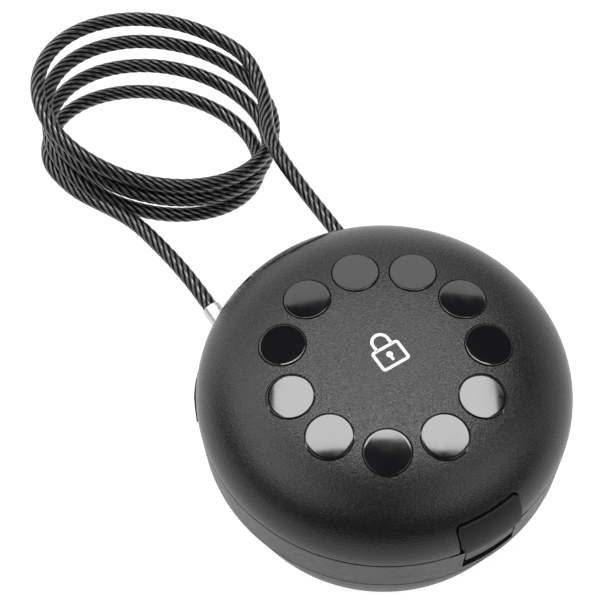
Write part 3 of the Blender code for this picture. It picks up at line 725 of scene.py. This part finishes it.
def hole_cutter(name, turn, chamfer=0.09 * MM, steps=72):
    """Cutter for a key's hole, with an even little chamfer where it meets the dome."""
    rings = ((BUTTON_HOLE_R + 2 * MM, 2 * MM - chamfer, True), (BUTTON_HOLE_R + chamfer, 0, True),
             (BUTTON_HOLE_R, -chamfer, True), (BUTTON_HOLE_R, -6 * MM, False))
    bm = bmesh.new()
    made = []
    for radius, rise, follows in rings:
        ring = []
        for k in range(steps):
            x, y = radius * cos(2 * pi * k / steps), radius * sin(2 * pi * k / steps)
            ring.append(bm.verts.new((x, y, rise + (dome_height(turn, x, y) if follows else 0))))
        made.append(ring)
    for a, b in zip(made, made[1:]):
        for k in range(steps):
            bm.faces.new((a[k - 1], b[k - 1], b[k], a[k]))
    for ring in (made[0], made[-1]):
        middle = bm.verts.new(sum((v.co for v in ring), Vector()) / steps)
        for k in range(steps):
            bm.faces.new((ring[k - 1], ring[k], middle))
    bmesh.ops.recalc_face_normals(bm, faces=bm.faces[:])
    cutter = solid(name, bm)
    cutter.data.transform(turn)
    return cutter


def seam_cutter(name, middle=SEAM_Y + 0.2 * MM, depth=0.5 * MM, flare=0.8, steps=56):
    """A V-shaped cutter that opens the rear seam's edges, except where the ends of the hinge pin lie under it."""
    reach = sqrt(RADIUS ** 2 - middle ** 2) - 0.8 * MM
    pin_end, spared, fade = 14 * MM, 1.4 * MM, 2 * MM
    bm = bmesh.new()
    rings = []
    for k in range(steps + 1):
        x = reach * sin(pi / 2 * (2 * k / steps - 1))
        z = LID_EDGE_Z + DOME_H * sqrt(max(1 - (hypot(x, middle) / RADIUS) ** 4, 0))
        beside_pin = min(max((abs(abs(x) - pin_end) - spared) / fade, 0), 1)
        low = 0.02 * MM - depth * beside_pin * (1 - 1.3 * (x / reach) ** 4)
        half = (MM - low) * flare
        rings.append([bm.verts.new((x, middle + y, z + rise))
                      for y, rise in ((-0.05 * MM, low), (0.05 * MM, low), (half, MM), (-half, MM))])
    for a, b in zip(rings, rings[1:]):
        for k in range(4):
            bm.faces.new((a[k - 1], b[k - 1], b[k], a[k]))
    bm.faces.new(rings[0])
    bm.faces.new(rings[-1][::-1])
    bmesh.ops.recalc_face_normals(bm, faces=bm.faces[:])
    return solid(name, bm)


def make_lid():
    shell = dome_solid("lid_dome")
    keep = block("lid_keep", (-70 * MM, -70 * MM, 20 * MM), (70 * MM, SEAM_Y, 70 * MM))
    join(keep, hinge_rod("barrel", -12.5 * MM, 12.5 * MM, 3.2 * MM))
    carve(shell, keep, "INTERSECT")
    hollow = turned("lid_hollow", dome_profile(RADIUS - WALL, LID_EDGE_Z, DOME_H - WALL, 16)
                    + [(RADIUS - WALL, 30 * MM), (0, 30 * MM)], 96)
    cut(hollow, block("hollow_end", (-70 * MM, SEAM_Y - 1.8 * MM, 20 * MM), (70 * MM, 70 * MM, 70 * MM)))
    cut(shell, hollow)
    for i, angle in enumerate(LID_SCREW_ANGLES):
        spot = at_angle(radians(angle), LID_SCREW_R)
        join(shell, upright_rod(f"post_{i}", spot, 41.1 * MM, 53.6 * MM, 2.4 * MM, 32))
        cut(shell, upright_rod(f"bore_{i}", spot, 38 * MM, 48 * MM, 1.25 * MM, 24))
    for side in (-1, 1):
        x0, x1 = sorted((side * 10.9 * MM, side * 13.2 * MM))
        join(shell, block("tab_ear", (x0, -49.6 * MM, 44.4 * MM), (x1, -46.6 * MM, 48.2 * MM)))
        cut(shell, hinge_rod("lug_relief", side * 12.5 * MM, side * 15.5 * MM, 2.1 * MM))
    cut(shell, hinge_rod("lid_bore", -20 * MM, 20 * MM, PIN_BORE_R, 24),
        tab_rod("tab_bore", 12.4 * MM, TAB_BORE_R, 24),
        block("tab_window", (-10.6 * MM, -70 * MM, 20 * MM), (10.6 * MM, -45 * MM, TAB_TOP_Z + 0.65 * MM),
              2 * MM, 6))
    for i in range(BUTTON_COUNT):
        cut(shell, hole_cutter(f"hole_{i}", button_frame(i)))
    cut(shell, seam_cutter("lid_seam"))
    tidy(shell)
    shade(shell, [dome_surface], 30)
    return place(shell, "lid", "lid_plastic", "lid_shell")


def make_buttons():
    for i in range(BUTTON_COUNT):
        crown, rim = 0.05 * MM, 0.3 * MM
        flat = BUTTON_R - rim
        profile = [(flat * k / 12, crown * (1 - (k / 12) ** 2)) for k in range(13)]
        profile += [(flat + rim * sin(t), rim * (cos(t) - 1)) for t in (pi / 2 * k / 7 for k in range(1, 8))]
        profile += [(BUTTON_R, -3 * MM), (7.8 * MM, -3 * MM), (7.8 * MM, -3.6 * MM), (0, -3.6 * MM)]
        button = shade(turned(f"key_cap_{i + 1}", profile, 72), angle=40)
        button.data.transform(button_frame(i))
        place(button, f"key_{i + 1}", "button_gloss", f"button_{i + 1}")


def make_mark():
    """A printed padlock outline on the crown, its strokes just proud of the plastic."""
    low, high, line = CROWN_Z - 0.2 * MM, CROWN_Z + 0.04 * MM, 0.9 * MM
    half_w, half_h, shackle = 4.6 * MM, 3.6 * MM, 2.9 * MM

    def bar(name, half_x, y0, y1, corner):
        return plate(name, half_x, y0, y1, corner, low, high, 0.02 * MM, lambda u, v, w: Vector((u, v, w)))

    mark = bar("padlock_mark", half_w, -half_h, half_h, 1.1 * MM)
    cut(mark, block("mark_inside", (line - half_w, line - half_h, low - MM),
                    (half_w - line, half_h - line, high + MM)))
    loop = turned("shackle", [(shackle - line, high), (shackle, high), (shackle, low), (shackle - line, low)], 64)
    cut(loop, block("shackle_half", (-8 * MM, -8 * MM, low - MM), (8 * MM, 0, high + MM)))
    loop.data.transform(Matrix.Translation((0, half_h + 1.6 * MM, 0)))
    legs = [block("shackle_leg", (x, half_h - 0.5 * MM, low), (x + line, half_h + 1.65 * MM, high))
            for x in (-shackle, shackle - line)]
    join(mark, loop, *legs)
    keyhole = rod("keyhole", (0, 0.5 * MM, low), (0, 0.5 * MM, high), 0.95 * MM, 32)
    join(keyhole, block("keyhole_slot", (-0.4 * MM, -1.6 * MM, low), (0.4 * MM, 0.5 * MM, high)))
    join(mark, keyhole)
    mark.data.transform(Matrix.Translation((1.2 * MM, -0.6 * MM, 0)))
    return place(shade(mark), "lid", "silicone", material=make_print())


# ---------------------------------------------------------------- release tab

def front_of_dome(u, v, w):
    """Point at x = u and height v on the front of the dome, w out from it."""
    r = RADIUS * max(1 - (max(v - LID_EDGE_Z, 0) / DOME_H) ** 2, 0) ** 0.25
    spot = Vector((u, -sqrt(r * r - u * u), max(v, LID_EDGE_Z)))
    return spot + w * dome_surface(spot)[1] + Vector((0, 0, min(v - LID_EDGE_Z, 0)))


def front_of_band(u, v, w):
    """Point at x = u and height v in front of the tab's notch, w out from it."""
    r = NOTCH_FRONT_R + w
    return Vector((u, -sqrt(r * r - u * u), v))


def make_tab():
    """Pull tab: a soft-edged pad on the dome with its neck and pivot barrel, and the lip under it."""
    pad = plate("pull_tab", TAB_HALF, LID_EDGE_Z - 0.1 * MM, TAB_TOP_Z, 1.6 * MM, -1.5 * MM, TAB_FACE, 0.45 * MM,
                front_of_dome)
    neck = block("neck", (-5.6 * MM, -51.9 * MM, 45.3 * MM), (5.6 * MM, TAB_PIVOT_Y, 47.5 * MM), 0.1 * MM)
    join(pad, neck, tab_rod("tab_barrel", 5.6 * MM, 1.8 * MM))
    for side in (-1, 1):
        near, far = sorted((side * (TAB_HALF - 0.8 * MM), side * (TAB_HALF + MM)))
        cut(pad, block("corner", (near, -60 * MM, 36 * MM), (far, -46 * MM, 41.6 * MM), 0.3 * MM, 2))
    cut(pad, tab_rod("tab_pin_bore", 5.8 * MM, TAB_BORE_R))
    shade(pad, [offset_surface(dome_surface, TAB_FACE)], 38, 0.25 * MM)
    dull = moulded("tab_finish", grey(0.007), grey(0.01), 0.5, 0.34 * MM, 0.03 * MM, **{"Specular IOR Level": 0.2})
    place(pad, "tab", "soft_plastic", "release_tab", material=dull)
    lip = plate("pull_lip", LIP_HALF, LIP_LOW_Z, LID_EDGE_Z - 0.12 * MM, 0.4 * MM, -2.2 * MM, LIP_FACE, 0.25 * MM,
                front_of_band)
    join(lip, block("tooth", (-5 * MM, -52.6 * MM, 32.4 * MM), (5 * MM, NOTCH_BACK_Y - 1.1 * MM, 34.2 * MM),
                    0.15 * MM))
    shade(lip, [cone_surface(NOTCH_FRONT_R + LIP_FACE, BASE_TOP_Z, NOTCH_FRONT_R + LIP_FACE, BAND_LOW_Z)], 38)
    place(lip, "tab", "base_plastic")


# ---------------------------------------------------------------- base

def port_plate(name, half, low, high, corner, back, front, rim):
    """A rounded plate that curves with the band, at the power port's angle."""
    def bend(u, v, w):
        r = 54.7 * MM + w
        return at_angle(PORT_ANGLE + asin(u / r), r, v)
    return plate(name, half, low, high, corner, back, front, rim, bend)


def port_box(name, near, far, half, low, high):
    thing = block(name, (near, -half, low), (far, half, high))
    thing.data.transform(Matrix.Rotation(PORT_ANGLE, 4, "Z"))
    return thing


def cable_rod(name, side, near, far, radius):
    return rod(name, (side * CABLE_X, near, CABLE_Z), (side * CABLE_X, far, CABLE_Z), radius)


def make_band():
    """Outer band, with the tab's notch and the shallow ramps beside it."""
    profile = [(52 * MM, BASE_TOP_Z, 0.3 * MM), (RADIUS, BASE_TOP_Z, 0.3 * MM),
               (BAND_LOW_R + 0.06 * MM, BAND_LOW_Z + 0.9 * MM, 0.1 * MM),
               (BAND_LOW_R - 0.4 * MM, BAND_LOW_Z + 0.75 * MM), (BAND_LOW_R - 0.4 * MM, BAND_LOW_Z + 0.45 * MM),
               (BAND_LOW_R - 0.04 * MM, BAND_LOW_Z + 0.3 * MM, 0.1 * MM),
               (BAND_LOW_R - 0.06 * MM, BAND_LOW_Z, 0.12 * MM), (51.9 * MM, BAND_LOW_Z)]
    band = turned("outer_band", fillet(profile), 256)
    join(band, block("notch_wall", (-13 * MM, NOTCH_BACK_Y - 3 * MM, 23 * MM), (13 * MM, -46.6 * MM, 33.1 * MM)))
    cut(band, block("notch", (-NOTCH_HALF, -60 * MM, NOTCH_LOW_Z), (NOTCH_HALF, NOTCH_BACK_Y, 45 * MM)))
    for side in (-1, 1):
        ramp = block("ramp", (min(0, -12 * MM * side), -60 * MM, 0), (max(0, -12 * MM * side), -53.2 * MM, 4 * MM))
        ramp.data.transform(Matrix.Translation((side * 17 * MM, 0, BASE_TOP_Z))
                            @ Matrix.Rotation(-side * radians(6), 4, "Y"))
        cut(band, ramp)
        join(band, cable_rod("cable_boss", side, 44.6 * MM, 48.9 * MM, 4.9 * MM))
        cut(band, cable_rod("cable_hole", side, 43 * MM, 60 * MM, 3.9 * MM))
    cut(band, port_box("port_pocket", 53.5 * MM, 60 * MM, 6.9 * MM, PORT_LOW_Z - 0.9 * MM, PORT_HIGH_Z + 0.3 * MM),
        port_box("port_hole", 49 * MM, 56 * MM, 4.9 * MM, 27.2 * MM, 33.2 * MM))
    shade(band, [cone_surface(RADIUS, BASE_TOP_Z, BAND_LOW_R, BAND_LOW_Z)], 30)
    return place(band, "base", "base_plastic", "base_band")


def make_tub():
    """Compartment wall with a rounded lip, its shelf and the cover's screw bosses."""
    profile = [(TUB_R, RIM_Z, 0.5 * MM), (51.6 * MM, RIM_Z, 0.3 * MM), (51.6 * MM, 33.4 * MM),
               (TUB_R + 1.5 * MM, 33.4 * MM, 0.8 * MM), (TUB_R + 1.5 * MM, 5.2 * MM), (TUB_R, 5.2 * MM)]
    tub = turned("compartment_wall", fillet(profile), 160)
    for i in range(4):
        foot = at_angle(radians(45 + 90 * i), SCREW_RING_R)
        join(tub, upright_rod(f"boss_{i}", foot, 3.9 * MM, 11 * MM, BOSS_R))
        cut(tub, upright_rod(f"boss_bore_{i}", foot, 2 * MM, 9.6 * MM, 1.25 * MM))
    cut(tub, block("shelf_end", (-13.4 * MM, -60 * MM, 32 * MM), (13.4 * MM, NOTCH_BACK_Y + 0.3 * MM, 45 * MM)),
        block("bolt_window", (-3.6 * MM, -44.2 * MM, 29.8 * MM), (4.4 * MM, -41.5 * MM, 34.2 * MM)),
        cable_rod("release_hole", 1, 30 * MM, 39.5 * MM, 3.4 * MM))
    shade(tub, angle=30)
    return place(tub, "base", "base_plastic", "key_tub")


def make_cover():
    profile = [(0, 3.6 * MM), (44.9 * MM, 3.6 * MM), (51.3 * MM, 21.9 * MM), (53.2 * MM, 21.9 * MM, 0.35 * MM),
               (50.8 * MM, 12 * MM, 14 * MM), (47.5 * MM, 1.3 * MM, 2.4 * MM), (0, 1.3 * MM)]
    cover = turned("underside_cover", fillet(profile, False, 6), 192, False)
    for i in range(4):
        foot = at_angle(radians(45 + 90 * i), SCREW_RING_R)
        cut(cover, upright_rod(f"seat_{i}", foot, 0, 2.6 * MM, 2.6 * MM),
            upright_rod(f"screw_hole_{i}", foot, 0, 6 * MM, 1.3 * MM))
    for side in (-1, 1):
        cut(cover, cable_rod("cover_notch", side, 38 * MM, 60 * MM, 5.2 * MM))
    shade(cover, angle=28)
    return place(cover, "base", "soft_plastic", "bottom_cover")


def make_hinge_block():
    """Rear piece of the dome, which stays on the base and carries the hinge pin in two lugs."""
    piece = dome_solid("rear_block")
    keep = block("block_keep", (-70 * MM, SEAM_Y + 0.4 * MM, 20 * MM), (70 * MM, 70 * MM, 70 * MM))
    cut(keep, hinge_rod("barrel_relief", -12.8 * MM, 12.8 * MM, 3.5 * MM))
    for side in (-1, 1):
        near, far = sorted((side * 12.8 * MM, side * 15.1 * MM))
        cut(keep, hinge_rod("edge_relief", side * 15.1 * MM, side * 24 * MM, 1.5 * MM, 24))
        join(keep, hinge_rod("lug", near, far, 1.7 * MM, 32))
    carve(piece, keep, "INTERSECT")
    cut(piece, hinge_rod("block_bore", -14.9 * MM, 14.9 * MM, PIN_BORE_R, 24), seam_cutter("block_seam"))
    tidy(piece)
    shade(piece, [dome_surface], 30)
    return place(piece, "base", "base_plastic", "hinge_block")


def make_port_cover():
    """Rubber flap with a raised nail grip."""
    flap = port_plate("port_flap", 6.5 * MM, PORT_LOW_Z, PORT_HIGH_Z, 1.6 * MM, -0.8 * MM, 1 * MM, 0.45 * MM)
    for z in (32.2, 33.4, 34.6):
        join(flap, port_plate("grip", 3.6 * MM, (z - 0.3) * MM, (z + 0.3) * MM, 0.28 * MM, 0.5 * MM, 1.25 * MM,
                              0.2 * MM))
    return place(shade(flap, angle=40), "port_flap", "rubber", "port_cover")


def make_rings():
    """Foot ring, felt floor and rim seal."""
    foot = fillet([(26 * MM, MM, 0.2 * MM), (36 * MM, MM, 0.2 * MM), (36 * MM, 0, 0.35 * MM),
                   (32 * MM, 0, 0.2 * MM), (31.6 * MM, 0.5 * MM, 0.2 * MM), (30.4 * MM, 0.5 * MM, 0.2 * MM),
                   (30 * MM, 0, 0.2 * MM), (26 * MM, 0, 0.35 * MM)])
    place(shade(turned("rubber_foot", foot, 128)), "base", "rubber", "foot_ring")
    felt = fillet([(0, 8.2 * MM), (38.1 * MM, 8.2 * MM, 0.45 * MM), (38.2 * MM, 7.1 * MM), (0, 7.1 * MM)], False)
    place(shade(turned("felt_floor", felt, 128, False)), "base", "felt", "compartment_liner")
    seal = fillet([(46.2 * MM, 37.5 * MM, 0.3 * MM), (47.1 * MM, 38.1 * MM, 0.5 * MM),
                   (48 * MM, 37.5 * MM, 0.3 * MM), (48 * MM, 36.3 * MM), (46.2 * MM, 36.3 * MM)])
    place(shade(turned("lid_seal", seal, 128)), "base", "rubber", "rim_seal")


def make_screws():
    """Pan-head screws with a cross recess, four under the base and four in the lid's liner."""
    for group, body, tip, head, ring, angles in (
            ("bottom", "base", 9 * MM, 1.4 * MM, SCREW_RING_R, (45, 135, 225, 315)),
            ("lid", "lid", 47 * MM, 37.9 * MM, LID_SCREW_R, LID_SCREW_ANGLES)):
        profile = [(0, tip), (0.7 * MM, tip), (MM, tip - 0.6 * MM), (MM, head + MM),
                   (2.3 * MM, head + MM, 0.15 * MM), (2.2 * MM, head + 0.1 * MM, 0.5 * MM), (0, head)]
        template = turned("screw", fillet(profile, False), 40, False)
        for turn in (0, 90):
            slot = block("recess", (-1.3 * MM, -0.28 * MM, head - MM), (1.3 * MM, 0.28 * MM, head + 0.6 * MM))
            slot.data.transform(Matrix.Rotation(radians(turn), 4, "Z"))
            cut(template, slot)
        shade(template, angle=40)
        for i, angle in enumerate(angles):
            mesh = template.data.copy()
            driven = Matrix.Rotation(radians(37 * i), 4, "Z")
            mesh.transform(Matrix.Translation(at_angle(radians(angle), ring)) @ driven)
            screw = bpy.data.objects.new(f"{group}_pan_screw_{i + 1}", mesh)
            bpy.context.scene.collection.objects.link(screw)
            place(screw, body, "steel", f"{group}_screw_{i + 1}")
        bpy.data.objects.remove(template, do_unlink=True)


def make_lid_lining():
    """The liner under the lid with a ring groove, and the ribbed battery door in it."""
    profile = [(0, 40.8 * MM), (51 * MM, 40.8 * MM, 0.3 * MM), (51 * MM, 39.2 * MM, 0.3 * MM),
               (48.4 * MM, 39.2 * MM, 0.15 * MM), (48.2 * MM, 39.7 * MM, 0.15 * MM),
               (47.4 * MM, 39.7 * MM, 0.15 * MM), (47.2 * MM, 39.2 * MM, 0.15 * MM), (0, 39.2 * MM)]
    liner = turned("lid_lining", fillet(profile, False), 160, False)
    cut(liner, block("liner_back", (-60 * MM, SEAM_Y - 2.2 * MM, 30 * MM), (60 * MM, 60 * MM, 50 * MM)),
        block("battery_hatch", (-24.3 * MM, -22.3 * MM, 30 * MM), (24.3 * MM, 12.3 * MM, 50 * MM)),
        rod("shaft_hole", (5.4 * MM, -33.5 * MM, 30 * MM), (5.4 * MM, -33.5 * MM, 50 * MM), 1.6 * MM))
    for i, angle in enumerate(LID_SCREW_ANGLES):
        spot = at_angle(radians(angle), LID_SCREW_R)
        cut(liner, upright_rod(f"liner_hole_{i}", spot, 30 * MM, 45 * MM, 1.3 * MM, 24))
    place(shade(liner, angle=30), "lid", "inner_plastic", "lid_liner")
    door = plate("cell_door", 24 * MM, -22 * MM, 12 * MM, 0.8 * MM, 0, 1.4 * MM, 0.25 * MM,
                 lambda u, v, w: Vector((u, v, 40.6 * MM - w)))
    for k in range(5):
        y = (4 + 1.3 * k) * MM
        cut(door, rod("rib_gap", (-6 * MM, y, 39 * MM), (6 * MM, y, 39 * MM), 0.45 * MM, 24))
    place(shade(door, angle=30), "lid", "inner_plastic", "battery_door")


def finish_cad_nodes():
    """The pieces that keep their CAD shape get their material too."""
    slots = {part["node"]: part["material_slot"] for part in frame["record"]["subparts"]}
    for name, node in NODES.items():
        for material_slot in node.material_slots:
            material_slot.material = MATERIALS[slots[name]]


make_camera()
make_studio()
MATERIALS = make_materials()
finish_cad_nodes()
make_cable_ends()
make_cable()
make_lid()
make_buttons()
make_mark()
make_tab()
make_band()
make_tub()
make_cover()
make_hinge_block()
make_port_cover()
make_rings()
make_screws()
make_lid_lining()
